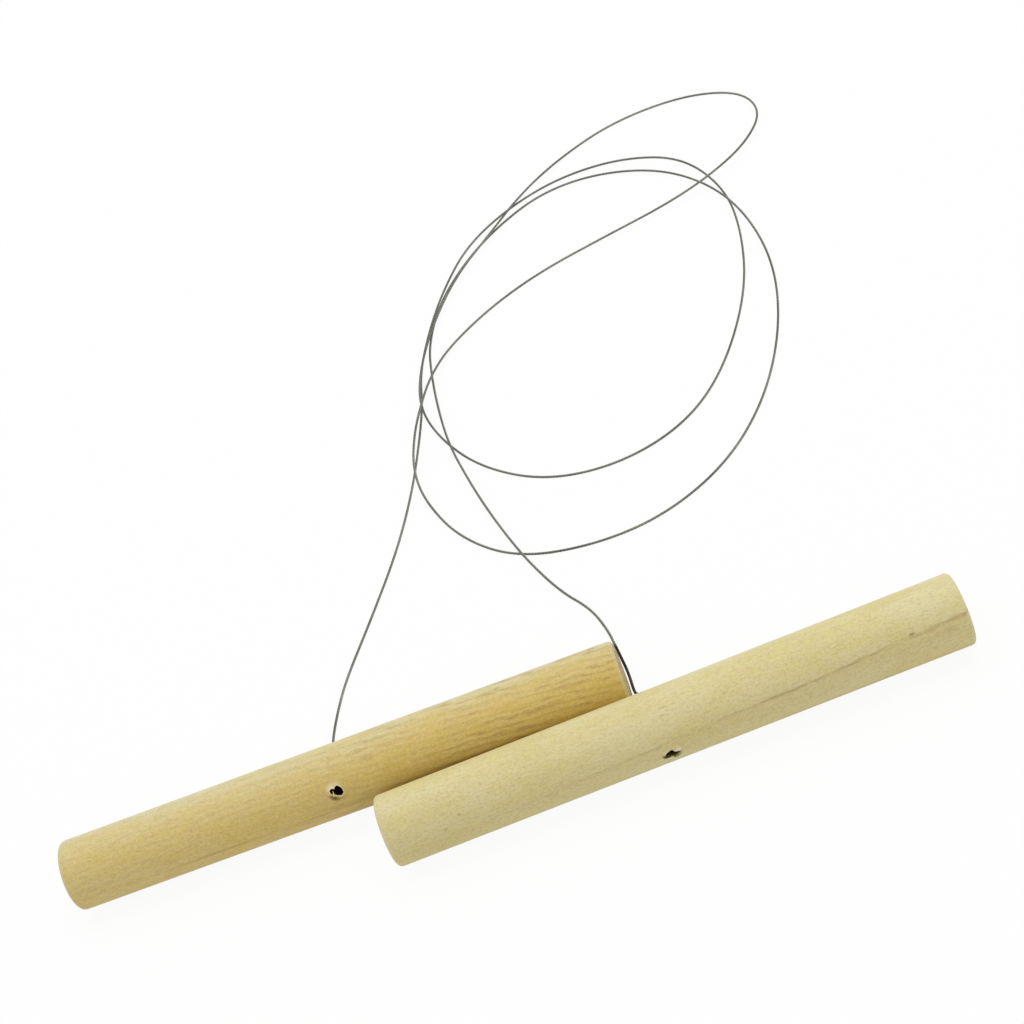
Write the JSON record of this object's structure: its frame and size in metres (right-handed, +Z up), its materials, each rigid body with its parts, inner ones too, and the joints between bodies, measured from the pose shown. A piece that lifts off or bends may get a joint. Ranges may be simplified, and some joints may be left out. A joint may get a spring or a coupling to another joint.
{
  "type": "wire clay cutter",
  "caption": "Potter's clay cutter: plain round wooden toggle handles joined by a long thin stranded steel wire, which lies in loose crossing loops. For slicing clay.",
  "frame": {"origin": "middle of the bottom of the box round the handles, on the surface that they lie on; the wire lies behind them", "axes": "+X along the front handle, +Y from the handles towards the wire's loops, +Z up"},
  "size_m": [0.2051, 0.2085, 0.015],
  "materials": {
    "front_wood": "bare sanded pale hardwood",
    "rear_wood": "bare sanded pale hardwood",
    "wire_steel": "bare stranded stainless wire",
    "sleeve_metal": "plain crimped sleeve"
  },
  "bodies": {
    "wire": {"front_stop": "sleeve_metal", "rear_stop": "sleeve_metal", "front_wire_end": "wire_steel", "rear_wire_end": "wire_steel", "wire_rear_tail": "wire_steel", "wire_loops": "wire_steel", "wire_front_tail": "wire_steel"},
    "front_handle": {"front_handle": "front_wood"},
    "rear_handle": {"rear_handle": "rear_wood"}
  },
  "joints": [
    {"name": "front_handle_swivel", "type": "hinge", "parent": "wire", "child": "front_handle", "pos_m": [0.0314, -0.00949, 0.0075], "axis": [0, -0.9993, 0.0373], "continuous": true},
    {"name": "rear_handle_swivel", "type": "hinge", "parent": "wire", "child": "rear_handle", "pos_m": [-0.03452, 0.00773, 0.0075], "axis": [-0.0249, -0.8264, 0.5625], "range_deg": [0, 70]}
  ]
}
